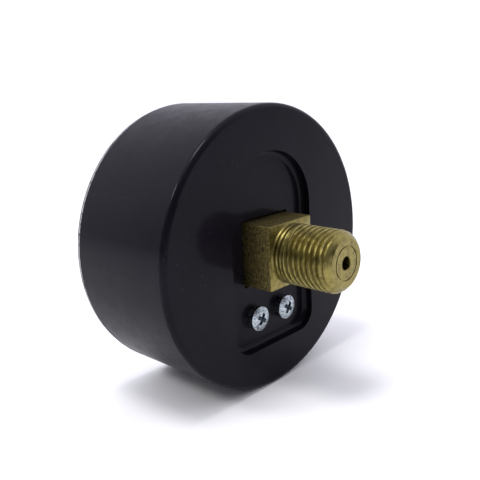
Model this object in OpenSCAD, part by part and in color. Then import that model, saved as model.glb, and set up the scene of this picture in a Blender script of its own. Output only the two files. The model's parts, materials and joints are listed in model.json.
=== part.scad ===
// Pressure gauge, 63 mm dial, centre back connection, G 1/4 B
//
// Bourdon-tube gauge with a moulded case, a brass pressure connection on a
// 14 mm wrench square, and a geared movement behind the dial.
// +Z is 12 o'clock, the dial faces -Y and the stem points along +Y.
// The origin is on the stem axis, on the rear face of the wrench square.
// Depths ("_d") are measured from that face towards the dial, along -Y.
// Angles are counted anticlockwise as seen by someone reading the dial.

/* [Case] */
// outer diameter of the case
case_dia = 63.2; // [50:0.1:100]
// depth of the case, back face to front rim
case_depth = 27.5; // [20:0.5:50]
// case wall thickness
case_wall = 2.0; // [1.2:0.1:4]
// radius on the rear edge
rear_edge_r = 1.2; // [0.2:0.1:2]
// how far the wrench square stands out behind the back face
square_out = 4.9; // [1:0.1:12]
// half width of the arched recess in the back
recess_half_w = 13.0; // [10:0.5:20]
// height of the arch centre above the stem axis
recess_arch_z = 8.7; // [4:0.1:12]
// bottom edge of the recess, below the stem axis
recess_bottom = 21.8; // [18:0.1:26]
// radius of the lower corners of the recess
recess_corner_r = 4.5; // [1:0.5:8]
// depth of the recess
recess_depth = 2.3; // [1:0.1:5]
// radius where the recess wall meets its floor
recess_fillet = 1.2; // [0.3:0.1:2]
// gap between the wrench square and its hole in the case
square_gap = 0.45; // [0.1:0.05:1]
// number of dial ribs around the inside wall
rib_count = 8; // [4:1:16]

/* [Lens] */
// thickness of the lens flange in front of the rim
lens_flange = 1.0; // [0.8:0.1:3]
// how far the flange stays inside the case edge
lens_inset = 0.23; // [0:0.01:1]
// wall of the lens skirt
lens_skirt_wall = 1.2; // [0.8:0.1:2]

/* [Connection] */
// width across flats of the wrench square
square_w = 14.0; // [10:1:22]
// major diameter of the pipe thread
thread_dia = 13.157; // [9:0.001:21]
// thread pitch
thread_pitch = 1.337; // [0.8:0.001:2]
// thread depth
thread_h = 0.856; // [0.4:0.001:1.5]
// number of thread grooves
thread_turns = 8; // [4:1:14]
// plain neck between the square and the thread
neck_len = 2.8; // [0.5:0.1:4]
// stem length from the square to the tip
stem_len = 14.2; // [8:0.1:24]
// diameter of the pressure bore
bore_dia = 2.8; // [1.5:0.1:5]
// orifice of the restrictor
orifice_dia = 0.5; // [0.3:0.1:1]
// how far the restrictor sits inside the bore, from the tip
restrictor_in = 9; // [2:0.5:12]

/* [Case screws] */
// half the spacing of the two case screws
screw_x = 4.57; // [3:0.01:8]
// distance of the case screws below the stem axis
screw_z = 14.97; // [10:0.01:18]
// thread diameter of the case screws
screw_dia = 3.0; // [2:0.5:4]
// head diameter of the case screws
screw_head_dia = 5.5; // [4:0.1:8]
// head height at the side of the case screws
screw_head_side = 1.6; // [0.8:0.1:2.5]
// shank length under the head
screw_len = 7.0; // [4:0.5:10]

/* [Bourdon tube] */
// centre-line radius of the tube
tube_r = 23.0; // [16:0.5:26]
// radial thickness of the flattened tube
tube_thick = 3.6; // [2:0.1:6]
// axial width of the flattened tube
tube_wide = 8.5; // [5:0.1:12]
// tube wall
tube_wall = 0.4; // [0.2:0.05:0.8]
// angle of the free tip
tip_angle = -36; // [-60:1:0]
// radius of the link pivot on the tip piece
tip_pin_r = 19.0; // [15:0.1:22]

/* [Movement] */
// gear module
gear_m = 0.2; // [0.15:0.01:0.5]
// teeth on the pinion
pinion_teeth = 14; // [10:1:20]
// teeth the sector would have as a full wheel
sector_teeth = 140; // [80:1:200]
// teeth actually cut on the sector
sector_cut_teeth = 17; // [12:1:30]
// length of the sector tail
tail_len = 6.0; // [4:0.1:8]
// thickness of the sector
sector_thick = 1.0; // [0.5:0.1:2]
// hairspring turns
spring_turns = 5; // [3:1:8]

/* [Dial and pointer] */
// thickness of the dial plate
dial_thick = 0.5; // [0.3:0.1:1]
// pointer sweep
dial_sweep = 270; // [90:5:300]
// pointer length from the centre
pointer_len = 21.0; // [12:0.5:26]
// pointer tail length
pointer_tail = 7.5; // [3:0.5:12]

/* [Hidden] */
$fn = 96;
eps = 0.01;
// overlap of shapes that join into one solid
weld = 0.5;
// how far a cut runs past the face that it opens
past = 1;

case_r = case_dia / 2;
case_in_r = case_r - case_wall;
back_d = square_out;
rim_d = back_d + case_depth;
wall_in_d = back_d + case_wall;
recess_d = back_d + recess_depth;
floor_in_d = recess_d + case_wall;
rib_w = 1.6;
rib_h = 1.2;
rib_first_angle = 22.5;
key_h = 1.0;
key_slack = 0.2;
key_behind = 1;
key_short = 0.1;
fillet_weld = 0.2;
screw_clear = 0.2;

square_r = square_w / 2;
foot_thick = 6;
foot_front_d = floor_in_d + foot_thick;
foot_low = 18.5;
ear_r = 2.2;
bore_r = bore_dia / 2;
bore_end_wall = 1.7;
bore_end_d = foot_front_d - bore_end_wall;
passage_r = 1.0;
passage_in = 3.0;
passage_d = floor_in_d + passage_in;
thread_r = thread_dia / 2;
thread_flank = 27.5;
thread_run = thread_h * tan(thread_flank);
thread_land = (thread_pitch - 2 * thread_run) / 2;
stem_chamfer = 1.25;
tip_face_r = 5.1;
tip_ring_r = 3.55;
tip_ring_w = 0.3;
tip_ring_deep = 0.2;
restrictor_len = 4;
restrictor_mouth_r = 0.9;
restrictor_mouth_deep = 1.5;
plug_len = 1.6;

tube_mid_in = 5.05;
tube_mid_d = floor_in_d + tube_mid_in;
boss_back_d = floor_in_d;
block_over = 0.7;
boss_front_d = tube_mid_d + tube_wide / 2 + block_over;
boss_left = -7;
boss_right = 1;
boss_bottom = 26.5;
boss_top = 19.8;
tube_root_angle = 266;
tube_round_steps = 48;
root_socket_angle = 18;
tube_end_angle = tip_angle - 3;
braze_gap = 0.02;
// how far a socket's sweep runs past its mouth, in degrees
past_angle = 1;
tip_block_from = 7;
tip_block_to = 2;
tip_block_half = 2.6;

screw_dome = 0.6;
screw_fit = 0.02;
// cross recess, as shares of the shank radius and of the head radius
cross_slot = 0.3;
cross_core = 0.42;
cross_reach = 0.50;
cross_turn = -33;
cross_deep = 1.3;
cross_core_deep = 1.8;
driver_slot = 0.35;

plate_back_d = foot_front_d;
back_plate_t = 1.2;
gap_d = plate_back_d + back_plate_t;
plate_gap = 5.0;
front_plate_d = gap_d + plate_gap;
front_plate_t = 1.0;
front_face_d = front_plate_d + front_plate_t;
pillar_r = 1.25;
pillar_spigot_r = 0.7;
spigot_short = 0.1;
rivet_pocket_r = 0.95;
rivet_pocket_deep = 1;
pillar_at = [[-7, -12.5], [7, -12.5], [0, 8.2]];
movement_screw_at = [[-4.6, 4.2], [4.6, 4.2]];
movement_screw_r = 1;
movement_screw_bite = 3.4;
movement_screw_head_r = 1.8;
movement_screw_head_t = 1.1;
plate_screw_r = 0.6;
plate_screw_bite = 2.2;
plate_screw_head_r = 1.3;
plate_screw_head_t = 0.8;
hole_over = 0.2;
plate_hole_play = 0.1;
plate_ear_r = 2.4;
// plate outline: the lower edge and the size of each rectangle
plate_bar = [-14.6, 17.2, 4.2];
plate_body = [-14, 13.6, 20];
plate_neck = [2, 8, 6.2];
plate_toe = [-17.6, 6, 5];

sector_r = gear_m * sector_teeth / 2;
pinion_r = gear_m * pinion_teeth / 2;
centre_dist = sector_r + pinion_r;
sector_lift = 1.6;
sector_back_d = gap_d + sector_lift;
sector_front_d = sector_back_d + sector_thick;
sector_swing = dial_sweep * pinion_teeth / sector_teeth;
lug_drop = 2.2;
lug_back_d = sector_back_d - lug_drop;
lug_t = 1.2;
lug_r = 1.6;
lug_w = 2.4;
link_t = 0.6;
link_drop = 0.8;
link_back_d = sector_back_d - link_drop;
link_w = 1.8;
link_eye_r = 1.25;
link_pin_r = 0.45;
pin_play = 0.1;
pin_head_t = 0.5;
tip_pin_head_r = 1.0;
tail_pin_head_r = 0.9;
rivet_t = 0.3;
rivet_r = 0.8;
link_run = 0.03;
link_open = 0.10;
link_offset = 0.06;
link_offset_angle = -41;
tail_rest_angle = -54.5;
tail_pin = [tail_len * cos(tail_rest_angle),
            tail_len * sin(tail_rest_angle) - centre_dist];
tip_pin = [tip_pin_r * cos(tip_angle), tip_pin_r * sin(tip_angle)];
tip_hole = tip_pin + link_offset * [cos(link_offset_angle), sin(link_offset_angle)];

pressure_angle = 20;
pinion_backlash = 0.9;
sector_backlash = 0.09;
// tooth heights, in modules
pinion_root = 1.25;
pinion_tip = 0.9;
sector_root = 1.2;
sector_tip = 0.8;
tooth_steps = 4;
sector_lead_teeth = 3;
sector_hub_r = 2.2;
tail_half = 1.1;
tail_eye_r = 1.3;
window_out_r = 11.6;
window_in_r = 4.4;
window_apex = 2.2;
window_far = 14;
window_far_half = 2.7;
arbor_seat_r = 0.8;
arbor_collar_r = 1.4;
end_play = 0.15;
back_pivot_short = 0.25;
pinion_over = 0.4;
pinion_body_r = 0.6;
pivot_r = 0.35;
pivot_run = 0.03;
arbor_front_r = 0.5;
arbor_out = 0.9;
spring_lift = 0.7;
spring_d = sector_front_d + spring_lift;
spring_wide = 0.8;
spring_thick = 0.12;
spring_in_r = 1.37;
spring_out_r = 5.9;
spring_out_angle = 180;
spring_steps = 36;
spring_margin = 0.1;
spring_end = spring_out_r * [cos(spring_out_angle), sin(spring_out_angle)];
collet_r = 1.3;
stud_r = 0.8;
stud_foot_r = 0.5;
stud_slot_slack = 0.2;
stud_slot_long = 2;

ledge_in = 6.5;
ledge_d = rim_d - ledge_in;
dial_d = ledge_d;
dial_front_d = dial_d + dial_thick;
dial_gap = 0.25;
dial_r = case_in_r - dial_gap;
dial_hole_r = 2.6;
pointer_lift = 1.2;
pointer_d = dial_front_d + pointer_lift;
pointer_thick = 0.4;
hub_r = 2.4;
hub_flange_r = 1.7;
hub_flange_t = 0.7;
hub_spigot_r = 1.2;
hub_cap_r = 1.6;
hub_cap_t = 0.6;
// pointer outline: distance from the centre and half width
blade = [[-pointer_tail, 1.3], [-1.5, 1.3], [1.5, 1.0], [pointer_len - 3, 0.45],
         [pointer_len, 0.08]];
tail_disc_r = 1.9;
rest_angle = 360 - dial_sweep / 2;
stop_r = 0.5;
stop_fit = 0.02;
stop_offset = 1.35;
stop_reach = 15.5;
stop_over = 1.0;
stop_head_t = 0.3;
stop_head_more = 0.3;
stop_at = [stop_reach * cos(rest_angle) - stop_offset * sin(rest_angle),
           stop_reach * sin(rest_angle) + stop_offset * cos(rest_angle)];
bead_out_of_ledge = 4;
bead_d = ledge_d + bead_out_of_ledge;
bead_r = 0.6;
bead_out = 0.25;
bead_slack = 0.1;
skirt_play = 0.06;
skirt_r = case_in_r - skirt_play;

// a flat shape drawn as seen from the dial side, from depth d forward by t
module slab(d, t) {
    translate([0, -d, 0])
        rotate([90, 0, 0])
            linear_extrude(t)
                children();
}

// a round bar along the depth axis at [x, z]
module rod(at, d, t, r) {
    translate([at[0], -d, at[1]])
        rotate([90, 0, 0])
            cylinder(h = t, r = r);
}

// a turned shape: the profile is drawn as [radius, depth]
module turned(at = [0, 0]) {
    translate([at[0], 0, at[1]])
        rotate([90, 0, 0])
            rotate_extrude()
                children();
}

// ---------- case ----------

module arch(grow) {
    r = recess_half_w + grow;
    c = recess_corner_r + grow;
    low = recess_bottom + grow;
    translate([0, recess_arch_z])
        circle(r);
    translate([-r, c - low])
        square([2 * r, recess_arch_z + low - c]);
    translate([c - r, -low])
        square([2 * (r - c), low + recess_arch_z]);
    for (side = [-1, 1])
        translate([side * (r - c), c - low])
            circle(c);
}

// the concave corner between wall and floor, drawn as [reach, depth]
module fillet_profile(reach) {
    f = recess_fillet;
    difference() {
        translate([reach - f, recess_d - f])
            square([f + fillet_weld, f + fillet_weld]);
        translate([reach - f, recess_d - f])
            circle(f);
    }
}

module fillet_bend(at, reach, from, to) {
    translate([at[0], 0, at[1]])
        rotate([90, 0, 0])
            rotate_extrude(angle = to - from, start = from)
                fillet_profile(reach);
}

module fillet_run(reach, len) {
    mirror([0, 1, 0])
        linear_extrude(len)
            fillet_profile(reach);
}

module recess_corner() {
    low = recess_corner_r - recess_bottom;
    flat = recess_half_w - recess_corner_r;
    fillet_bend([0, recess_arch_z], recess_half_w, 0, 180);
    fillet_bend([flat, low], recess_corner_r, 270, 360);
    fillet_bend([-flat, low], recess_corner_r, 180, 270);
    for (side = [0, 1])
        mirror([side, 0, 0])
            translate([0, 0, low])
                fillet_run(recess_half_w, recess_arch_z - low);
    rotate([0, 90, 0])
        translate([0, 0, -flat])
            fillet_run(recess_bottom, 2 * flat);
}

module case_profile() {
    difference() {
        union() {
            translate([0, back_d])
                square([case_r - rear_edge_r, case_depth]);
            translate([0, back_d + rear_edge_r])
                square([case_r, case_depth - rear_edge_r]);
            translate([case_r - rear_edge_r, back_d + rear_edge_r])
                circle(rear_edge_r);
        }
        translate([-eps, wall_in_d])
            square([case_in_r + eps, case_depth]);
        translate([case_in_r - bead_r + bead_out + bead_slack, bead_d])
            circle(bead_r);
    }
}

module dial_ribs() {
    for (i = [0 : rib_count - 1])
        rotate(rib_first_angle + i * 360 / rib_count)
            translate([case_in_r - rib_h, -rib_w / 2])
                square([rib_h + weld, rib_w]);
}

module case() {
    color([0.09, 0.09, 0.1])
        union() {
            difference() {
                union() {
                    turned()
                        case_profile();
                    slab(back_d + weld, floor_in_d - back_d - weld)
                        arch(case_wall);
                    slab(wall_in_d - weld, ledge_d - wall_in_d + weld)
                        dial_ribs();
                    slab(ledge_d - key_behind, key_behind + dial_thick - key_short)
                        dial_key(rib_w - key_slack);
                }
                slab(back_d - past, recess_depth + past)
                    arch(0);
                slab(recess_d - past, case_wall + 2 * past)
                    square(square_w + 2 * square_gap, center = true);
                for (side = [-1, 1])
                    rod([side * screw_x, -screw_z], recess_d - past, case_wall + 2 * past,
                        screw_dia / 2 + screw_clear);
            }
            recess_corner();
        }
}

module dial_key(w) {
    translate([-w / 2, -case_in_r - weld])
        square([w, weld + key_h]);
}

// ---------- lens ----------

module lens() {
    color([0.85, 0.9, 0.92, 0.35])
        turned() {
            translate([0, rim_d])
                square([case_r - lens_inset, lens_flange]);
            translate([skirt_r - lens_skirt_wall, dial_front_d])
                square([lens_skirt_wall, rim_d - dial_front_d + eps]);
            intersection() {
                translate([case_in_r - bead_r + bead_out, bead_d])
                    circle(bead_r - bead_slack);
                translate([skirt_r - eps, bead_d - bead_r])
                    square([bead_r, 2 * bead_r]);
            }
        }
}

// ---------- dial ----------

module dial() {
    color([0.95, 0.95, 0.93])
        difference() {
            rod([0, 0], dial_d, dial_thick, dial_r);
            rod([0, 0], dial_d - past, dial_thick + 2 * past, dial_hole_r);
            slab(dial_d - past, dial_thick + 2 * past)
                dial_key(rib_w + key_slack);
            rod(stop_at, dial_d - past, dial_thick + 2 * past, stop_r + stop_fit);
        }
}

module stop_pin() {
    color([0.75, 0.7, 0.45])
        turned(stop_at) {
            translate([0, dial_d - stop_head_t])
                square([stop_r, stop_head_t + pointer_d - dial_d + stop_over]);
            translate([0, dial_d - stop_head_t])
                square([stop_r + stop_head_more, stop_head_t]);
        }
}

// ---------- pointer ----------

module blade_shape() {
    last = len(blade) - 1;
    polygon(concat(blade, [for (i = [last : -1 : 0]) [blade[i][0], -blade[i][1]]]));
}

module pointer() {
    color([0.05, 0.05, 0.05])
        difference() {
            union() {
                rod([0, 0], pointer_d, pointer_thick, hub_r);
                slab(pointer_d, pointer_thick)
                    rotate(rest_angle)
                        blade_shape();
                rod(-pointer_tail * [cos(rest_angle), sin(rest_angle)], pointer_d, pointer_thick,
                    tail_disc_r);
            }
            rod([0, 0], pointer_d - past, pointer_thick + 2 * past, hub_spigot_r);
        }
}

module pointer_hub() {
    color([0.72, 0.6, 0.3])
        turned()
            difference() {
                union() {
                    translate([0, pointer_d - hub_flange_t])
                        square([hub_flange_r, hub_flange_t]);
                    translate([0, pointer_d - eps])
                        square([hub_spigot_r, pointer_thick + 2 * eps]);
                    translate([0, pointer_d + pointer_thick])
                        square([hub_cap_r, hub_cap_t]);
                }
                translate([-past, pointer_d - hub_flange_t - past])
                    square([past + arbor_front_r,
                            hub_flange_t + pointer_thick + hub_cap_t + 2 * past]);
            }
}

// ---------- pressure connection ----------

module thread_profile() {
    first = -neck_len;
    step = [0, thread_run, thread_run + thread_land, 2 * thread_run + thread_land];
    intersection() {
        polygon(concat(
            [[0, weld], [thread_r, weld]],
            [for (i = [0 : thread_turns - 1], p = [0 : 3])
                [thread_r - (p == 1 || p == 2 ? thread_h : 0), first - i * thread_pitch - step[p]]],
            [[thread_r, -stem_len], [0, -stem_len]]));
        polygon([[0, past], [thread_r + past, past], [thread_r + past, stem_chamfer - stem_len],
                 [thread_r, stem_chamfer - stem_len], [tip_face_r, -stem_len], [0, -stem_len]]);
    }
}

module stem() {
    difference() {
        turned()
            thread_profile();
        turned()
            translate([tip_ring_r - tip_ring_w / 2, -stem_len - past])
                square([tip_ring_w, past + tip_ring_deep]);
    }
}

module tube_section(grow) {
    half = tube_wide / 2 - tube_thick / 2;
    r = tube_thick / 2 + grow;
    translate([tube_r - r, tube_mid_d - half])
        square([2 * r, 2 * half]);
    for (side = [-1, 1])
        translate([tube_r, tube_mid_d + side * half])
            circle(r, $fn = tube_round_steps);
}

module tube_sweep(from, to) {
    rotate([90, 0, 0])
        rotate_extrude(angle = to - from, start = from)
            children();
}

module foot() {
    slab(floor_in_d, foot_thick)
        union() {
            translate([-square_r, -foot_low])
                square([2 * square_r, foot_low + square_r]);
            for (i = [0, 1])
                translate(pillar_at[i])
                    circle(ear_r);
        }
    slab(boss_back_d, boss_front_d - boss_back_d)
        translate([boss_left, -boss_bottom])
            square([boss_right - boss_left, boss_bottom - boss_top]);
    slab(floor_in_d, foot_thick)
        translate([boss_left, -boss_bottom])
            square([2 * square_r, boss_bottom - foot_low + past]);
}

module socket() {
    color([0.76, 0.62, 0.3])
        difference() {
            union() {
                stem();
                slab(0, floor_in_d + weld)
                    square(square_w, center = true);
                foot();
            }
            rod([0, 0], -stem_len - past, stem_len + past + bore_end_d, bore_r);
            translate([0, -passage_d, -boss_bottom - past])
                cylinder(h = boss_bottom + past, r = passage_r);
            tube_sweep(tube_root_angle - root_socket_angle, tube_root_angle + past_angle)
                tube_section(braze_gap);
            for (side = [-1, 1])
                rod([side * screw_x, -screw_z], floor_in_d - past, screw_len,
                    screw_dia / 2 + screw_fit);
            for (at = movement_screw_at)
                rod(at, foot_front_d - movement_screw_bite - hole_over,
                    movement_screw_bite + hole_over + past, movement_screw_r + screw_fit);
            for (i = [0, 1])
                rod(pillar_at[i], foot_front_d - rivet_pocket_deep, rivet_pocket_deep + past,
                    rivet_pocket_r);
        }
}

module restrictor() {
    back = restrictor_in - stem_len;
    color([0.7, 0.7, 0.7])
        turned()
            difference() {
                translate([0, back])
                    square([bore_r, restrictor_len]);
                translate([-past, back - past])
                    square([past + orifice_dia / 2, restrictor_len + 2 * past]);
                translate([-past, back - past])
                    square([past + restrictor_mouth_r, past + restrictor_mouth_deep]);
            }
}

module passage_plug() {
    color([0.7, 0.6, 0.35])
        translate([0, -passage_d, -boss_bottom])
            cylinder(h = plug_len, r = passage_r);
}

// ---------- screws ----------

// pan head behind depth d, shank ahead of it; drawn as [radius, depth]
module pan_head_profile(d, r, len, head_r, side, dome) {
    ball = (head_r * head_r + dome * dome) / (2 * dome);
    top = d - side - dome;
    intersection() {
        union() {
            translate([0, top])
                square([head_r, d - top]);
            translate([0, d - eps])
                square([r, len + eps]);
        }
        union() {
            translate([0, top + ball])
                circle(ball);
            translate([0, d - side])
                square([head_r + past, len + side + past]);
        }
        translate([0, top - past])
            square([head_r + past, len + side + dome + 2 * past]);
    }
}

module cross_screw(at, d, r, len, head_r, side, dome) {
    top = d - side - dome;
    slot = r * cross_slot;
    reach = head_r * cross_reach;
    difference() {
        turned(at)
            pan_head_profile(d, r, len, head_r, side, dome);
        for (turn = [0, 90])
            translate([at[0], -top, at[1]])
                rotate([90, turn + cross_turn, 0])
                    translate([-reach, -slot, -past])
                        cube([2 * reach, 2 * slot, past + cross_deep]);
        rod(at, top - past, past + cross_core_deep, r * cross_core);
    }
}

module case_screws() {
    color([0.8, 0.82, 0.86])
        for (side = [-1, 1])
            cross_screw([side * screw_x, -screw_z], recess_d, screw_dia / 2, screw_len,
                        screw_head_dia / 2, screw_head_side, screw_dome);
}

// slotted cheese head facing the dial
module small_screw(at, seat, r, len, head_r, head_t) {
    difference() {
        union() {
            rod(at, seat - len, len + eps, r);
            rod(at, seat, head_t, head_r);
        }
        translate([at[0], -(seat + head_t), at[1]])
            cube([2 * (head_r + past), 2 * driver_slot, driver_slot], center = true);
    }
}

module movement_screws() {
    color([0.78, 0.78, 0.8])
        for (at = movement_screw_at)
            small_screw(at, gap_d, movement_screw_r, back_plate_t + movement_screw_bite,
                        movement_screw_head_r, movement_screw_head_t);
}

module plate_screws() {
    color([0.78, 0.78, 0.8])
        for (at = pillar_at)
            small_screw(at, front_face_d, plate_screw_r, front_plate_t + plate_screw_bite,
                        plate_screw_head_r, plate_screw_head_t);
}

// ---------- Bourdon tube ----------

module bourdon_tube() {
    color([0.8, 0.6, 0.35])
        tube_sweep(tube_end_angle, tube_root_angle)
            difference() {
                tube_section(0);
                tube_section(-tube_wall);
            }
}

module lug() {
    rotate(tip_angle) {
        translate([tip_pin_r, 0])
            circle(lug_r);
        translate([tip_pin_r, -lug_r])
            square([tube_r - tip_pin_r, lug_w]);
    }
}

module tip_piece() {
    color([0.76, 0.62, 0.3])
        difference() {
            union() {
                tube_sweep(tip_angle - tip_block_from, tip_angle + tip_block_to)
                    translate([tube_r - tip_block_half, tube_mid_d - tube_wide / 2 - block_over])
                        square([2 * tip_block_half, tube_wide + 2 * block_over]);
                slab(lug_back_d, lug_t)
                    lug();
            }
            tube_sweep(tube_end_angle, tip_angle + 2 * tip_block_to)
                tube_section(braze_gap);
            rod(tip_hole, lug_back_d - past, lug_t + 2 * past, link_pin_r + link_open);
        }
}

// ---------- link ----------

module link() {
    run = tip_pin - tail_pin;
    len = norm(run);
    color([0.72, 0.6, 0.32])
        difference() {
            slab(link_back_d, link_t)
                translate(tail_pin)
                    rotate(atan2(run[1], run[0])) {
                        circle(link_eye_r);
                        translate([len, 0])
                            circle(link_eye_r);
                        translate([0, -link_w / 2])
                            square([len, link_w]);
                    }
            rod(tail_pin, link_back_d - past, link_t + 2 * past, link_pin_r + link_run);
            rod(tip_pin, link_back_d - past, link_t + 2 * past, link_pin_r);
        }
}

// pin with its head behind depth d and a riveted end in front
module link_pin(at, d, len, head_r) {
    rod(at, d, len, link_pin_r);
    rod(at, d - pin_head_t, pin_head_t, head_r);
    rod(at, d + len, rivet_t, rivet_r);
}

module link_tip_pin() {
    color([0.78, 0.78, 0.8])
        link_pin(tip_pin, lug_back_d - pin_play, link_back_d + link_t - lug_back_d + pin_play,
                 tip_pin_head_r);
}

module link_tail_pin() {
    color([0.78, 0.78, 0.8])
        link_pin(tail_pin, link_back_d - pin_play, sector_front_d - link_back_d + pin_play,
                 tail_pin_head_r);
}

// ---------- movement ----------

// a rectangle about the middle line: [lower edge, width, height]
module band(at) {
    translate([-at[1] / 2, at[0]])
        square([at[1], at[2]]);
}

module plate_outline() {
    for (at = [plate_bar, plate_body, plate_neck, plate_toe])
        band(at);
    for (at = pillar_at)
        translate(at)
            circle(plate_ear_r);
}

module back_plate() {
    long = back_plate_t + 2 * past;
    color([0.8, 0.68, 0.36])
        difference() {
            slab(plate_back_d, back_plate_t)
                plate_outline();
            rod([0, 0], plate_back_d - past, long, pivot_r + pivot_run);
            rod([0, -centre_dist], plate_back_d - past, long, pivot_r + pivot_run);
            for (at = movement_screw_at)
                rod(at, plate_back_d - past, long, movement_screw_r + plate_hole_play);
            for (at = pillar_at)
                rod(at, plate_back_d - past, long, pillar_spigot_r);
        }
}

module front_plate() {
    long = front_plate_t + 2 * past;
    color([0.8, 0.68, 0.36])
        difference() {
            slab(front_plate_d, front_plate_t)
                plate_outline();
            for (at = movement_screw_at)
                rod(at, front_plate_d - past, long, movement_screw_head_r + hole_over);
            rod([0, 0], front_plate_d - past, long, arbor_front_r + pivot_run);
            rod([0, -centre_dist], front_plate_d - past, long, pivot_r + pivot_run);
            for (at = pillar_at)
                rod(at, front_plate_d - past, long, plate_screw_r + pivot_run);
            rod(spring_end, front_plate_d - past, long, stud_foot_r);
        }
}

module pillars() {
    color([0.76, 0.64, 0.34])
        for (at = pillar_at)
            difference() {
                union() {
                    rod(at, gap_d, plate_gap, pillar_r);
                    rod(at, plate_back_d + spigot_short, back_plate_t, pillar_spigot_r);
                }
                rod(at, front_plate_d - plate_screw_bite - hole_over,
                    plate_screw_bite + hole_over + past, plate_screw_r + screw_fit);
            }
}

// ---------- gears ----------

function involute(a) = tan(a) * 180 / PI - a;

function tooth_half(n, r, slack) =
    let (base = gear_m * n / 2 * cos(pressure_angle))
    90 / n - slack + involute(pressure_angle) - involute(acos(base / max(r, base)));

function tooth_points(n, root, tip, slack, turn) =
    let (radii = [for (i = [0 : tooth_steps]) root + (tip - root) * i / tooth_steps])
    concat(
        [for (r = radii) let (a = turn - tooth_half(n, r, slack)) r * [cos(a), sin(a)]],
        [for (i = [tooth_steps : -1 : 0])
            let (r = radii[i], a = turn + tooth_half(n, r, slack)) r * [cos(a), sin(a)]]);

module pinion_teeth_shape() {
    root = pinion_r - pinion_root * gear_m;
    tip = pinion_r + pinion_tip * gear_m;
    polygon([for (i = [0 : pinion_teeth - 1])
        each tooth_points(pinion_teeth, root, tip, pinion_backlash,
                          -90 + (i + 0.5) * 360 / pinion_teeth)]);
}

module sector_outline() {
    pitch_angle = 360 / sector_teeth;
    root = sector_r - sector_root * gear_m;
    tip = sector_r + sector_tip * gear_m;
    first = 90 + sector_lead_teeth * pitch_angle;
    polygon(concat(
        [[0, 0]],
        [for (i = [sector_cut_teeth - 1 : -1 : 0])
            each tooth_points(sector_teeth, root, tip, sector_backlash,
                              first - i * pitch_angle)]));
}

module sector_window() {
    intersection() {
        difference() {
            circle(window_out_r);
            circle(window_in_r);
        }
        rotate(90 - sector_swing / 2)
            polygon([[window_apex, 0], [window_far, window_far_half],
                     [window_far, -window_far_half]]);
    }
}

module sector_gear() {
    color([0.8, 0.66, 0.34])
        difference() {
            slab(sector_back_d, sector_thick)
                translate([0, -centre_dist])
                    difference() {
                        union() {
                            sector_outline();
                            circle(sector_hub_r);
                            rotate(tail_rest_angle)
                                translate([0, -tail_half])
                                    square([tail_len, 2 * tail_half]);
                            rotate(tail_rest_angle)
                                translate([tail_len, 0])
                                    circle(tail_eye_r);
                        }
                        sector_window();
                    }
            rod([0, -centre_dist], sector_back_d - past, sector_thick + 2 * past, arbor_seat_r);
            rod(tail_pin, sector_back_d - past, sector_thick + 2 * past, link_pin_r);
        }
}

module sector_arbor() {
    at = [0, -centre_dist];
    back = plate_back_d + back_pivot_short;
    front = front_face_d - end_play;
    collar = gap_d + 2 * end_play;
    color([0.75, 0.75, 0.78]) {
        rod(at, back, front - back, pivot_r);
        rod(at, gap_d + end_play, plate_gap - 2 * end_play, arbor_seat_r);
        rod(at, collar, sector_back_d - collar, arbor_collar_r);
    }
}

module pinion_arbor() {
    back = plate_back_d + back_pivot_short;
    front = front_plate_d - 2 * end_play;
    color([0.75, 0.75, 0.78]) {
        rod([0, 0], back, gap_d + 2 * end_play - back, pivot_r);
        rod([0, 0], gap_d + end_play, plate_gap - 2 * end_play, pinion_body_r);
        slab(sector_back_d - pinion_over, sector_thick + 2 * pinion_over)
            pinion_teeth_shape();
        rod([0, 0], front, pointer_d + arbor_out - front, arbor_front_r);
    }
}

// ---------- hairspring ----------

function spiral_at(i, side) =
    let (n = spring_turns * spring_steps,
         r = spring_in_r + (spring_out_r - spring_in_r) * i / n + side * spring_thick / 2,
         a = spring_out_angle - (n - i) * 360 / spring_steps)
    r * [cos(a), sin(a)];

module hairspring() {
    n = spring_turns * spring_steps;
    color([0.85, 0.7, 0.4])
        slab(spring_d, spring_wide)
            polygon(concat([for (i = [0 : n]) spiral_at(i, 1)],
                           [for (i = [n : -1 : 0]) spiral_at(i, -1)]));
}

module spring_collet() {
    color([0.76, 0.62, 0.3])
        difference() {
            rod([0, 0], spring_d - spring_margin, spring_wide + 2 * spring_margin, collet_r);
            rod([0, 0], spring_d - past, spring_wide + 2 * past, pinion_body_r);
        }
}

module spring_stud() {
    back = spring_d - spring_margin;
    color([0.76, 0.62, 0.3])
        difference() {
            union() {
                rod(spring_end, back, front_plate_d - back, stud_r);
                rod(spring_end, front_plate_d - eps, front_plate_t + spring_margin, stud_foot_r);
            }
            slab(spring_d - past, past + spring_wide + braze_gap)
                translate(spring_end)
                    square([spring_thick + stud_slot_slack, stud_slot_long], center = true);
        }
}

case();
lens();
dial();
stop_pin();
pointer();
pointer_hub();
socket();
restrictor();
passage_plug();
case_screws();
bourdon_tube();
tip_piece();
link();
link_tip_pin();
link_tail_pin();
back_plate();
front_plate();
pillars();
movement_screws();
plate_screws();
sector_gear();
sector_arbor();
pinion_arbor();
hairspring();
spring_collet();
spring_stud();
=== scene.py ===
import json
import math

import bmesh
import bpy
from mathutils import Matrix, Vector


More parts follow.
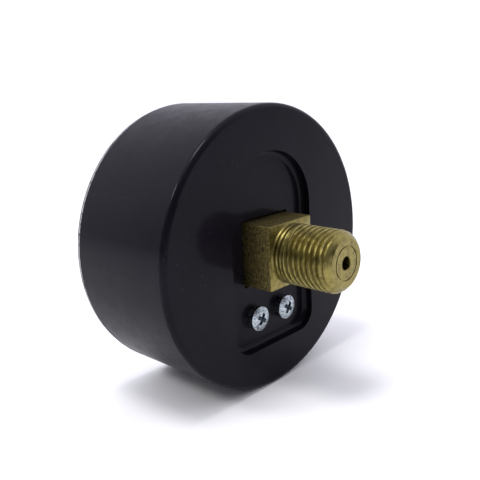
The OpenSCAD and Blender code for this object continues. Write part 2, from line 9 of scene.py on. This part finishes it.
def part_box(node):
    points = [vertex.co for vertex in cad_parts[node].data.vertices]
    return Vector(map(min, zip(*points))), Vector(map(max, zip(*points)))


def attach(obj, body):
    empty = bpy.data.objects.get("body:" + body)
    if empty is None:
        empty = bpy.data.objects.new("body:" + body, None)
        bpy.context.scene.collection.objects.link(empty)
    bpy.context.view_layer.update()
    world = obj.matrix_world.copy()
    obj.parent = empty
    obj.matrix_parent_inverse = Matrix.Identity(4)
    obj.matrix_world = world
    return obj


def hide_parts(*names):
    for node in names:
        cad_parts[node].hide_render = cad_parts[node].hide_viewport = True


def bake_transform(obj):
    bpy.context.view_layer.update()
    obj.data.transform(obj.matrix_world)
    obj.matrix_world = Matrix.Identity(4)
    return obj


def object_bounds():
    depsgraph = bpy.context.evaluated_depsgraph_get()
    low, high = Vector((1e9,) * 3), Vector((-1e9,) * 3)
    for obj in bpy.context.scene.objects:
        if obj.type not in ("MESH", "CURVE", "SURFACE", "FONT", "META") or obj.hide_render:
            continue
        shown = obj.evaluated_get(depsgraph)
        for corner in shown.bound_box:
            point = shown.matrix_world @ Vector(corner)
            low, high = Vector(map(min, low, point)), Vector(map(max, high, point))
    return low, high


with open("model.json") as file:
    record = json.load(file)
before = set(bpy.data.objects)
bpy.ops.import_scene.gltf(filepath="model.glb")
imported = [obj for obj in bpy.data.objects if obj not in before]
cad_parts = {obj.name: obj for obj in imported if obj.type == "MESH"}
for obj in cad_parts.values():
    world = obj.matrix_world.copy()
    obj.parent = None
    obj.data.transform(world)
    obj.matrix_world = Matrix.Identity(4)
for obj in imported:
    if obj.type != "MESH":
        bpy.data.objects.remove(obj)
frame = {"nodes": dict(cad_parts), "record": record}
cad_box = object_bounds()

MM = 0.001
NODES = frame["nodes"]
RECORD = frame["record"]


# ---------------------------------------------------------------- camera, floor and lights

VIEW_AZIMUTH = math.radians(134.2)    # round +Z from the dial's side, towards +X
VIEW_HEIGHT = math.radians(14.6)
VIEW_ROLL = math.radians(-3.1)
VIEW_DISTANCE = 164.6 * MM
VIEW_LENS = 48.5                      # for a 36 mm wide sensor
AIM = Vector((-11.0, -25.8, -3.3)) * MM
UP = Vector((0, 0, 1))
FLOOR_HALF = 3.0                      # metres
LIT_POINT = Vector((0, -12, 0)) * MM
# name, metres from the lit point (to the camera's right, towards the camera, up), width, watts
SOFTBOXES = (
    ("softbox_above", (-0.08, 0.08, 0.45), 0.14, 0.80),
    ("softbox_right", (0.45, 0.0, 0.20), 0.30, 0.085),
    ("softbox_left", (-0.315, 0.1125, 0.297), 0.09, 0.45),
)
WASH_POWER = 0.7
WASH_WIDTH = math.radians(120)
TENT_COLOUR = (0.885, 0.880, 1.0, 1)
TENT_BRIGHT = 1.30
TENT_DIM = 0.20
TENT_AXIS = (0.8, -0.6)               # towards the camera, up; the tent gets dimmer this way
TENT_TURN = (-0.45, 0.15)             # where bright begins to fade, where dim is reached


def add_camera():
    back = Vector((math.sin(VIEW_AZIMUTH) * math.cos(VIEW_HEIGHT),
                   -math.cos(VIEW_AZIMUTH) * math.cos(VIEW_HEIGHT),
                   math.sin(VIEW_HEIGHT)))
    side = (-back).cross(UP).normalized()
    up = back.cross(side)
    right = math.cos(VIEW_ROLL) * side + math.sin(VIEW_ROLL) * up
    top = back.cross(right)
    data = bpy.data.cameras.new("camera")
    data.lens = VIEW_LENS
    data.clip_start = 5 * MM
    camera = bpy.data.objects.new("camera", data)
    bpy.context.scene.collection.objects.link(camera)
    turn = Matrix((right, top, back)).transposed().to_4x4()
    camera.matrix_world = Matrix.Translation(AIM + back * VIEW_DISTANCE) @ turn
    bpy.context.scene.camera = camera
    return side


def add_object(name, mesh):
    piece = bpy.data.objects.new(name, mesh)
    bpy.context.scene.collection.objects.link(piece)
    return piece


def mesh_from(name, bm):
    mesh = bpy.data.meshes.new(name)
    bmesh.ops.recalc_face_normals(bm, faces=bm.faces)
    bm.to_mesh(mesh)
    bm.free()
    return mesh


def add_floor():
    low = cad_box[0][2]
    bm = bmesh.new()
    bmesh.ops.create_grid(bm, x_segments=4, y_segments=4, size=FLOOR_HALF)
    bmesh.ops.translate(bm, verts=bm.verts, vec=(0, 0, low))
    floor = add_object("floor", mesh_from("floor", bm))
    floor.data.materials.append(floor_paint())


def add_softbox(name, place, width, power):
    data = bpy.data.lights.new(name, "AREA")
    data.shape = "DISK"
    data.size = width
    data.energy = power
    lamp = bpy.data.objects.new(name, data)
    bpy.context.scene.collection.objects.link(lamp)
    lamp.location = place
    lamp.rotation_euler = (LIT_POINT - place).to_track_quat("-Z", "Y").to_euler()


def add_floor_wash():
    """A very wide sun that keeps the floor white and is not mirrored in the gauge."""
    wash = bpy.data.lights.new("floor_wash", "SUN")
    wash.energy = WASH_POWER
    wash.angle = WASH_WIDTH
    lamp = bpy.data.objects.new("floor_wash", wash)
    bpy.context.scene.collection.objects.link(lamp)
    lamp.visible_glossy = False


def add_lights(side):
    """Round soft boxes above, right and left of the gauge, inside the tent that the world makes."""
    towards = side.cross(UP)
    for name, (right, near, high), width, power in SOFTBOXES:
        place = LIT_POINT + right * side + near * towards + high * UP
        add_softbox(name, place, width, power)
    add_floor_wash()


def paint_world(side):
    """The tent: white overhead and behind the gauge, grey around the camera."""
    world = bpy.data.worlds.new("tent")
    world.use_nodes = True
    bpy.context.scene.world = world
    tree = world.node_tree
    sky = tree.nodes["Background"]
    where = tree.nodes.new("ShaderNodeTexCoord")
    dot = tree.nodes.new("ShaderNodeVectorMath")
    dot.operation = "DOT_PRODUCT"
    dot.inputs[1].default_value = (TENT_AXIS[0] * side.cross(UP) + TENT_AXIS[1] * UP)[:]
    tree.links.new(where.outputs["Generated"], dot.inputs[0])
    shade = tree.nodes.new("ShaderNodeMapRange")
    shade.interpolation_type = "SMOOTHSTEP"
    shade.inputs["From Min"].default_value = TENT_TURN[0]
    shade.inputs["From Max"].default_value = TENT_TURN[1]
    shade.inputs["To Min"].default_value = TENT_BRIGHT
    shade.inputs["To Max"].default_value = TENT_DIM
    tree.links.new(dot.outputs["Value"], shade.inputs["Value"])
    tree.links.new(shade.outputs["Result"], sky.inputs["Strength"])
    sky.inputs["Color"].default_value = TENT_COLOUR


# ---------------------------------------------------------------- material helpers

def material(name, **values):
    paint = bpy.data.materials.new(name)
    paint.use_nodes = True
    shader = paint.node_tree.nodes["Principled BSDF"]
    for key, value in values.items():
        shader.inputs[key.replace("_", " ")].default_value = value
    return paint, paint.node_tree, shader


def place_in_mm(tree, stretch=(1, 1, 1)):
    where = tree.nodes.new("ShaderNodeTexCoord")
    scaled = tree.nodes.new("ShaderNodeMapping")
    scaled.inputs["Scale"].default_value = [s / MM for s in stretch]
    tree.links.new(where.outputs["Object"], scaled.inputs["Vector"])
    return scaled.outputs["Vector"]


def lathe_place(tree, along, around):
    """Coordinates that run along the stem and out from its axis, so noise makes turning marks."""
    parts = tree.nodes.new("ShaderNodeSeparateXYZ")
    tree.links.new(place_in_mm(tree), parts.inputs["Vector"])
    flat = tree.nodes.new("ShaderNodeCombineXYZ")
    tree.links.new(parts.outputs["X"], flat.inputs["X"])
    tree.links.new(parts.outputs["Z"], flat.inputs["Z"])
    reach = tree.nodes.new("ShaderNodeVectorMath")
    reach.operation = "LENGTH"
    tree.links.new(flat.outputs["Vector"], reach.inputs[0])
    join = tree.nodes.new("ShaderNodeCombineXYZ")
    tree.links.new(reach.outputs["Value"], join.inputs["X"])
    tree.links.new(parts.outputs["Y"], join.inputs["Y"])
    scaled = tree.nodes.new("ShaderNodeMapping")
    scaled.inputs["Scale"].default_value = (around, along, 1)
    tree.links.new(join.outputs["Vector"], scaled.inputs["Vector"])
    return scaled.outputs["Vector"]


def noise(tree, place, scale, detail=4.0, rough=0.55):
    node = tree.nodes.new("ShaderNodeTexNoise")
    node.inputs["Scale"].default_value = scale
    node.inputs["Detail"].default_value = detail
    node.inputs["Roughness"].default_value = rough
    tree.links.new(place, node.inputs["Vector"])
    return node.outputs["Fac"]


def ramp(tree, value, *stops):
    node = tree.nodes.new("ShaderNodeValToRGB")
    marks = node.color_ramp.elements
    while len(marks) < len(stops):
        marks.new(0.5)
    for mark, (position, colour) in zip(marks, stops):
        mark.position = position
        mark.color = (*colour, 1)
    tree.links.new(value, node.inputs["Fac"])
    return node.outputs["Color"]


def spread(tree, value, low, high):
    """Maps a noise value, which mostly lies from 0.3 to 0.7, to low..high."""
    node = tree.nodes.new("ShaderNodeMapRange")
    node.inputs["From Min"].default_value = 0.3
    node.inputs["From Max"].default_value = 0.7
    node.inputs["To Min"].default_value = low
    node.inputs["To Max"].default_value = high
    tree.links.new(value, node.inputs["Value"])
    return node.outputs["Result"]


def cover(tree, amount, under, colour):
    """Lays one colour over a colour pattern."""
    node = tree.nodes.new("ShaderNodeMix")
    node.data_type = "RGBA"
    tree.links.new(amount, node.inputs["Factor"])
    tree.links.new(under, node.inputs[6])
    node.inputs[7].default_value = (*colour, 1)
    return node.outputs[2]


def bump(tree, height, depth_mm, strength=1.0, under=None):
    node = tree.nodes.new("ShaderNodeBump")
    node.inputs["Strength"].default_value = strength
    node.inputs["Distance"].default_value = depth_mm * MM
    tree.links.new(height, node.inputs["Height"])
    if under is not None:
        tree.links.new(under, node.inputs["Normal"])
    return node.outputs["Normal"]


def specks(tree, place, scale, size, share):
    """1 inside small round specks that sit in a share of the cells of a random grid."""
    cells = tree.nodes.new("ShaderNodeTexVoronoi")
    cells.inputs["Scale"].default_value = scale
    tree.links.new(place, cells.inputs["Vector"])
    near = tree.nodes.new("ShaderNodeMath")
    near.operation = "LESS_THAN"
    near.inputs[1].default_value = size
    tree.links.new(cells.outputs["Distance"], near.inputs[0])
    split = tree.nodes.new("ShaderNodeSeparateColor")
    tree.links.new(cells.outputs["Color"], split.inputs["Color"])
    chosen = tree.nodes.new("ShaderNodeMath")
    chosen.operation = "LESS_THAN"
    chosen.inputs[1].default_value = share
    tree.links.new(split.outputs["Red"], chosen.inputs[0])
    both = tree.nodes.new("ShaderNodeMath")
    both.operation = "MULTIPLY"
    tree.links.new(near.outputs["Value"], both.inputs[0])
    tree.links.new(chosen.outputs["Value"], both.inputs[1])
    return both.outputs["Value"]


# ---------------------------------------------------------------- materials

def floor_paint():
    paint, tree, shader = material("floor_paint", Roughness=0.9)
    shader.inputs["Specular IOR Level"].default_value = 0.1
    mottle = noise(tree, place_in_mm(tree), 0.02, detail=2)
    tree.links.new(ramp(tree, mottle, (0.3, (0.90, 0.90, 0.90)), (0.7, (0.94, 0.94, 0.94))),
                   shader.inputs["Base Color"])
    return paint


def case_plastic():
    """Moulded black plastic: fine grain, slow changes in gloss, a few pale specks of dust."""
    paint, tree, shader = material("case_plastic", Specular_IOR_Level=0.05, Coat_Weight=0.125,
                                   Coat_Roughness=0.12)
    place = place_in_mm(tree)
    slow = noise(tree, place, 0.09, detail=3)
    colour = ramp(tree, slow, (0.3, (0.0030, 0.0025, 0.0046)), (0.7, (0.0056, 0.0048, 0.0080)))
    colour = cover(tree, specks(tree, place, 1.3, 0.12, 0.16), colour, (0.040, 0.038, 0.045))
    tree.links.new(colour, shader.inputs["Base Color"])
    shader.inputs["Specular Tint"].default_value = (0.84, 0.80, 1.0, 1)
    gloss = noise(tree, place, 0.35, detail=5, rough=0.6)
    tree.links.new(spread(tree, gloss, 0.34, 0.46), shader.inputs["Roughness"])
    grain = bump(tree, noise(tree, place, 5.0, detail=3), 0.03, 0.7)
    orange_peel = bump(tree, noise(tree, place, 0.8, detail=2), 0.02, 0.25, grain)
    tree.links.new(orange_peel, shader.inputs["Normal"])
    return paint


def brass_bar():
    """The drawn square: dull, stained, with fine pits and streaks along the bar."""
    paint, tree, shader = material("brass_bar", Metallic=1.0)
    place = place_in_mm(tree)
    streaks = noise(tree, place_in_mm(tree, (2.2, 0.35, 2.2)), 1.6, detail=6, rough=0.65)
    mottle = noise(tree, place_in_mm(tree, (1.0, 1.0, 0.45)), 2.6, detail=6, rough=0.7)
    colour = ramp(tree, streaks, (0.32, (0.13, 0.102, 0.036)), (0.5, (0.23, 0.186, 0.066)),
                  (0.68, (0.34, 0.285, 0.105)))
    stained = ramp(tree, mottle, (0.48, (0, 0, 0)), (0.58, (0.9, 0.9, 0.9)))
    colour = cover(tree, stained, colour, (0.055, 0.040, 0.020))
    tree.links.new(colour, shader.inputs["Base Color"])
    tree.links.new(spread(tree, mottle, 0.40, 0.64), shader.inputs["Roughness"])
    pits = bump(tree, noise(tree, place, 4.5, detail=5, rough=0.7), 0.03, 0.7)
    tree.links.new(bump(tree, streaks, 0.05, 0.6, pits), shader.inputs["Normal"])
    return paint


def brass_turned():
    """The turned stem: brighter, with fine turning marks and a little staining."""
    paint, tree, shader = material("brass_turned", Metallic=1.0)
    place = place_in_mm(tree)
    marks = noise(tree, lathe_place(tree, 4.5, 4.5), 1.0, detail=5, rough=0.75)
    stain = noise(tree, place, 0.9, detail=6, rough=0.7)
    colour = ramp(tree, stain, (0.34, (0.130, 0.102, 0.038)), (0.48, (0.225, 0.186, 0.058)),
                  (0.68, (0.315, 0.270, 0.090)))
    tree.links.new(colour, shader.inputs["Base Color"])
    tree.links.new(spread(tree, stain, 0.26, 0.42), shader.inputs["Roughness"])
    grit = bump(tree, noise(tree, place, 6.0, detail=3), 0.010, 0.5)
    tree.links.new(bump(tree, marks, 0.05, 0.9, grit), shader.inputs["Normal"])
    return paint


def zinc_steel():
    """Zinc plating on the screws: bluish grey, with small clouds and dents."""
    paint, tree, shader = material("zinc_steel", Metallic=1.0)
    place = place_in_mm(tree)
    cloud = noise(tree, place, 1.8, detail=6, rough=0.7)
    colour = ramp(tree, cloud, (0.38, (0.14, 0.165, 0.18)), (0.60, (0.52, 0.58, 0.62)))
    tree.links.new(colour, shader.inputs["Base Color"])
    tree.links.new(spread(tree, cloud, 0.20, 0.40), shader.inputs["Roughness"])
    dents = noise(tree, place, 1.6, detail=5)
    tree.links.new(bump(tree, dents, 0.07, 0.6), shader.inputs["Normal"])
    return paint


def sheet_metal(name, dark, light, rough, grain_scale=3.0):
    """Punched or turned metal with a faint rolling grain."""
    paint, tree, shader = material(name, Metallic=1.0)
    place = place_in_mm(tree, (0.4, 1, 2.4))
    grain = noise(tree, place, grain_scale, detail=4)
    tree.links.new(ramp(tree, grain, (0.3, dark), (0.7, light)), shader.inputs["Base Color"])
    tree.links.new(spread(tree, grain, rough - 0.06, rough + 0.08), shader.inputs["Roughness"])
    tree.links.new(bump(tree, grain, 0.008, 0.5), shader.inputs["Normal"])
    return paint


def enamel(name, low, high, rough):
    """Baked paint on sheet metal, with a faint orange peel."""
    paint, tree, shader = material(name)
    place = place_in_mm(tree)
    cloud = noise(tree, place, 0.3, detail=3)
    tree.links.new(ramp(tree, cloud, (0.3, low), (0.7, high)), shader.inputs["Base Color"])
    tree.links.new(spread(tree, cloud, rough - 0.05, rough + 0.05), shader.inputs["Roughness"])
    orange_peel = noise(tree, place, 2.0, detail=2)
    tree.links.new(bump(tree, orange_peel, 0.006, 0.4), shader.inputs["Normal"])
    return paint


def clear_plastic():
    """Clear moulded window with very faint wipe marks in its gloss."""
    paint, tree, shader = material("clear_plastic", IOR=1.49)
    shader.inputs["Transmission Weight"].default_value = 1.0
    shader.inputs["Base Color"].default_value = (0.97, 0.985, 0.98, 1)
    wipes = noise(tree, place_in_mm(tree, (0.15, 1, 1.2)), 0.6, detail=5)
    tree.links.new(spread(tree, wipes, 0.0, 0.02), shader.inputs["Roughness"])
    return paint


PAINTS = {
    "case_black": case_plastic(),
    "lens_clear": clear_plastic(),
    "dial_white": enamel("dial_enamel", (0.80, 0.80, 0.77), (0.86, 0.86, 0.84), 0.42),
    "pointer_black": enamel("pointer_enamel", (0.010, 0.010, 0.011), (0.020, 0.020, 0.021), 0.38),
    "brass_worn": brass_turned(),
    "brass_plate": sheet_metal("brass_plate", (0.52, 0.38, 0.14), (0.68, 0.52, 0.22), 0.34),
    "bronze_tube": sheet_metal("bronze_tube", (0.50, 0.27, 0.12), (0.66, 0.38, 0.19), 0.30, 1.5),
    "zinc_steel": zinc_steel(),
    "steel": sheet_metal("turned_steel", (0.50, 0.50, 0.51), (0.66, 0.66, 0.68), 0.28),
}


def dress(piece, paint):
    piece.data.materials.clear()
    piece.data.materials.append(paint)


def dress_nodes():
    for part in RECORD["subparts"]:
        dress(NODES[part["node"]], PAINTS[part["material_slot"]])


# ---------------------------------------------------------------- brass connection

STEM = next(m for m in RECORD["mounts"] if m["name"] == "stem_thread")
THREAD_R = STEM["dims"]["r_mm"] * MM
PITCH = 1.337 * MM
THREAD_DEPTH = 0.62 * MM
CREST_SHARE = 0.38                     # share of the pitch that is flat crest
ROOT_SHARE = 0.10                      # and flat root
NECK = 2.8 * MM                        # length of the neck before the thread
RUN_OUT = 0.4                          # turns over which the thread fades into the neck
NECK_ROOT = 0.12 * MM                  # corner between the neck and the square
NECK_MARK = 0.13 * MM                  # rounded turning rings left on the neck
NECK_MARK_STEP = 1.1 * MM
TIP_ROUND = 2.1 * MM                   # length of the rounded lead-in
TIP_FACE_R = 5.1 * MM
TIP_MARK = 0.05 * MM                   # turning steps on the lead-in
TIP_MARK_STEP = 0.6 * MM
RING_R = 3.55 * MM                     # fine groove round the bore in the tip face
RING_W = 0.3 * MM
RING_DEEP = 0.2 * MM
BORE_R = 1.4 * MM
BORE_DEEP = 16 * MM
MOUTH = 0.15 * MM                      # chamfer at the mouth of the bore
EDGE_BREAK = 0.3 * MM                  # bevel round the rear face of the square
EDGE_SHARE = 0.25                      # how much of the bevel its first step takes
SQUARE_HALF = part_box("socket")[1].z
CORNER_R = 0.25 * MM
STEM_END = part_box("socket")[1].y
SPLIT_DEEP = 3.3 * MM                  # from the case back to the cut, below the recess floor
SPLIT_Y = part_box("case")[1].y - SPLIT_DEEP
AROUND = 128                           # points in each ring
STEM_RINGS = 200
REAR_FACE_Y = -0.1 * MM                # faces behind this are turned, not drawn, brass
SHARP_ANGLE = math.radians(32)


def ring_angles():
    """Even steps, with extra ones where the square's corners are rounded."""
    angles = {round(360 * i / AROUND, 4) for i in range(AROUND)}
    reach = math.degrees(math.atan2(SQUARE_HALF, SQUARE_HALF - CORNER_R)) - 45
    for corner in (45, 135, 225, 315):
        for step in (-1, -0.5, 0.5, 1):
            angles.add(round(corner + step * reach, 4))
    return [math.radians(a) for a in sorted(angles)]


def square_reach(angle, half):
    """Distance from the axis to the edge of the rounded square."""
    c = abs(math.cos(angle))
    s = abs(math.sin(angle))
    flat = half / max(c, s)
    if min(c, s) * flat <= half - CORNER_R:
        return flat
    mid = half - CORNER_R
    along = mid * (c + s)
    return along + math.sqrt(max(along * along - 2 * mid * mid + CORNER_R * CORNER_R, 0))


def wave(turns):
    """0 at every whole turn, 1 halfway between."""
    return 0.5 - 0.5 * math.cos(2 * math.pi * turns)


def thread_radius(angle, y):
    """Right-handed pipe thread that runs out at the ringed neck and is cut by the rounded tip."""
    turn = ((y - NECK) / PITCH + angle / (2 * math.pi)) % 1.0
    from_root = abs(turn - 0.5) / 0.5
    depth = 1 - min(max((from_root - ROOT_SHARE) / (1 - ROOT_SHARE - CREST_SHARE), 0), 1)
    fade = min(max((y - NECK) / PITCH + RUN_OUT, 0), 1)
    neck_ring = NECK_MARK * (1 - fade) * wave(y / NECK_MARK_STEP)
    radius = THREAD_R - THREAD_DEPTH * depth * fade - neck_ring
    along = max((y - STEM_END) / TIP_ROUND + 1, 0)
    tip_ring = TIP_MARK * min(along, 1) * wave(y / TIP_MARK_STEP)
    return min(radius, THREAD_R - (THREAD_R - TIP_FACE_R) * along ** 2 - tip_ring)


def connection_rings():
    """The outline from the cut through the square to the bottom of the bore, ring by ring."""
    first_step = EDGE_SHARE * EDGE_BREAK
    rings = [
        lambda a: (square_reach(a, SQUARE_HALF), SPLIT_Y),
        lambda a: (square_reach(a, SQUARE_HALF), -EDGE_BREAK),
        lambda a: (square_reach(a, SQUARE_HALF - first_step), -first_step),
        lambda a: (square_reach(a, SQUARE_HALF - EDGE_BREAK), 0.0),
        lambda a: (THREAD_R + NECK_ROOT, 0.0),
    ]
    for i in range(1, STEM_RINGS + 1):
        y = STEM_END * i / STEM_RINGS
        rings.append(lambda a, y=y: (thread_radius(a, y), y))
    face_and_bore = [
        (RING_R + RING_W / 2, 0), (RING_R + RING_W / 2, RING_DEEP),
        (RING_R - RING_W / 2, RING_DEEP), (RING_R - RING_W / 2, 0),
        (BORE_R + MOUTH, 0), (BORE_R, MOUTH), (BORE_R, BORE_DEEP),
    ]
    for reach, deep in face_and_bore:
        rings.append(lambda a, r=reach, y=STEM_END - deep: (r, y))
    return rings


def wall_between(bm, rows):
    """Joins closed rows of points into a skin and caps both ends."""
    count = len(rows[0])
    for lower, upper in zip(rows, rows[1:]):
        for i in range(count):
            j = (i + 1) % count
            bm.faces.new((lower[i], lower[j], upper[j], upper[i]))
    bm.faces.new(rows[0])
    bm.faces.new(rows[-1])


def add_square_and_stem():
    """Square and stem as one milled and turned piece."""
    bm = bmesh.new()
    angles = ring_angles()
    rows = []
    for ring in connection_rings():
        row = []
        for a in angles:
            reach, y = ring(a)
            row.append(bm.verts.new((reach * math.cos(a), y, reach * math.sin(a))))
        rows.append(row)
    wall_between(bm, rows)
    for face in bm.faces:
        face.smooth = True
        face.material_index = int(face.calc_center_median().y > REAR_FACE_Y)
    mesh = mesh_from("socket_rear", bm)
    piece = add_object("socket_rear", mesh)
    piece.data.materials.append(brass_bar())
    piece.data.materials.append(PAINTS["brass_worn"])
    mesh.set_sharp_from_angle(angle=SHARP_ANGLE)
    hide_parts("socket")
    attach(piece, "gauge")


def add_foot():
    """The part of the CAD socket inside the case, cut off where the drawn square takes over."""
    bm = bmesh.new()
    bm.from_mesh(NODES["socket"].data)
    cut = bmesh.ops.bisect_plane(bm, geom=bm.verts[:] + bm.edges[:] + bm.faces[:],
                                 plane_co=(0, SPLIT_Y, 0), plane_no=(0, 1, 0),
                                 clear_outer=True)
    rim = [e for e in cut["geom_cut"] if isinstance(e, bmesh.types.BMEdge)]
    bmesh.ops.triangle_fill(bm, edges=rim, use_beauty=True)
    foot_piece = add_object("socket_foot", mesh_from("socket_foot", bm))
    dress(foot_piece, PAINTS["brass_plate"])
    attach(foot_piece, "gauge")


# ---------------------------------------------------------------- dial print

DIAL_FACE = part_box("dial")[0].y
DIAL_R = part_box("dial")[1].x
ZERO_ANGLE = 225                       # degrees
SWEEP = 270
FULL_SCALE = 10
INK = 0.02 * MM                        # thickness of the print
SCALE_R = DIAL_R * 0.88
NUMBER_R = DIAL_R * 0.60
NUMBER_SIZE = 5.2 * MM
NUMBER_EVERY = 2
MARKS_PER_UNIT = 5
# length and width of the marks at every second unit, at every unit, and between them
MARK_SIZES = ((4.2 * MM, 0.55 * MM), (3.0 * MM, 0.35 * MM), (1.8 * MM, 0.2 * MM))
ARC_WIDTH = 0.3 * MM
ARC_STEPS = 180


def dial_angle(value):
    """Anticlockwise from 3 o'clock, as seen by someone reading the dial."""
    return math.radians(ZERO_ANGLE - SWEEP * value / FULL_SCALE)


def ink_bar(bm, angle, inner, outer, width):
    out = Vector((math.cos(angle), 0, math.sin(angle)))
    across = Vector((-math.sin(angle), 0, math.cos(angle))) * width / 2
    lift = Vector((0, DIAL_FACE, 0))
    base = [inner * out - across, outer * out - across, outer * out + across, inner * out + across]
    back = [bm.verts.new(p + lift) for p in base]
    front = [bm.verts.new(p + lift - Vector((0, INK, 0))) for p in base]
    bm.faces.new(front)
    bm.faces.new(back[::-1])
    for i in range(4):
        j = (i + 1) % 4
        bm.faces.new((back[i], back[j], front[j], front[i]))


def ink_arc(bm, radius, width):
    lift = Vector((0, DIAL_FACE, 0))
    up = Vector((0, -INK, 0))
    rows = []
    for i in range(ARC_STEPS + 1):
        a = dial_angle(FULL_SCALE * i / ARC_STEPS)
        out = Vector((math.cos(a), 0, math.sin(a)))
        inner = (radius - width / 2) * out + lift
        outer = (radius + width / 2) * out + lift
        rows.append([bm.verts.new(p) for p in (inner, outer, outer + up, inner + up)])
    for one, two in zip(rows, rows[1:]):
        for i in range(4):
            j = (i + 1) % 4
            bm.faces.new((one[i], one[j], two[j], two[i]))
    bm.faces.new(rows[0])
    bm.faces.new(rows[-1])


def ink_number(bm, value):
    letter = bpy.data.curves.new("number", "FONT")
    letter.body = str(value)
    letter.size = NUMBER_SIZE
    letter.extrude = INK / 2
    letter.align_x = "CENTER"
    letter.align_y = "CENTER"
    holder = add_object("number", letter)
    shaped = holder.evaluated_get(bpy.context.evaluated_depsgraph_get())
    solid = bpy.data.meshes.new_from_object(shaped)
    a = dial_angle(value)
    spot = Vector((NUMBER_R * math.cos(a), DIAL_FACE - INK / 2, NUMBER_R * math.sin(a)))
    solid.transform(Matrix.Translation(spot) @ Matrix.Rotation(math.pi / 2, 4, "X"))
    bm.from_mesh(solid)
    bpy.data.objects.remove(holder)
    bpy.data.curves.remove(letter)
    bpy.data.meshes.remove(solid)


def add_dial_print():
    bm = bmesh.new()
    for mark in range(FULL_SCALE * MARKS_PER_UNIT + 1):
        if mark % (NUMBER_EVERY * MARKS_PER_UNIT) == 0:
            length, width = MARK_SIZES[0]
        elif mark % MARKS_PER_UNIT == 0:
            length, width = MARK_SIZES[1]
        else:
            length, width = MARK_SIZES[2]
        ink_bar(bm, dial_angle(mark / MARKS_PER_UNIT), SCALE_R - length, SCALE_R, width)
    ink_arc(bm, SCALE_R, ARC_WIDTH)
    for value in range(0, FULL_SCALE + 1, NUMBER_EVERY):
        ink_number(bm, value)
    piece = add_object("dial_print", mesh_from("dial_print", bm))
    dress(piece, PAINTS["pointer_black"])
    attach(piece, "gauge")


# ---------------------------------------------------------------- tube

def add_tube():
    """A bronze copy of the CAD tube, put in its place."""
    tube = add_object("tube_bending", NODES["bourdon_tube"].data.copy())
    dress(tube, PAINTS["bronze_tube"])
    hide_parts("bourdon_tube")
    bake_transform(tube)


# ---------------------------------------------------------------- build

view_side = add_camera()
add_floor()
add_lights(view_side)
paint_world(view_side)
bpy.context.scene.view_settings.view_transform = "Standard"
dress_nodes()
add_square_and_stem()
add_foot()
add_dial_print()
add_tube()
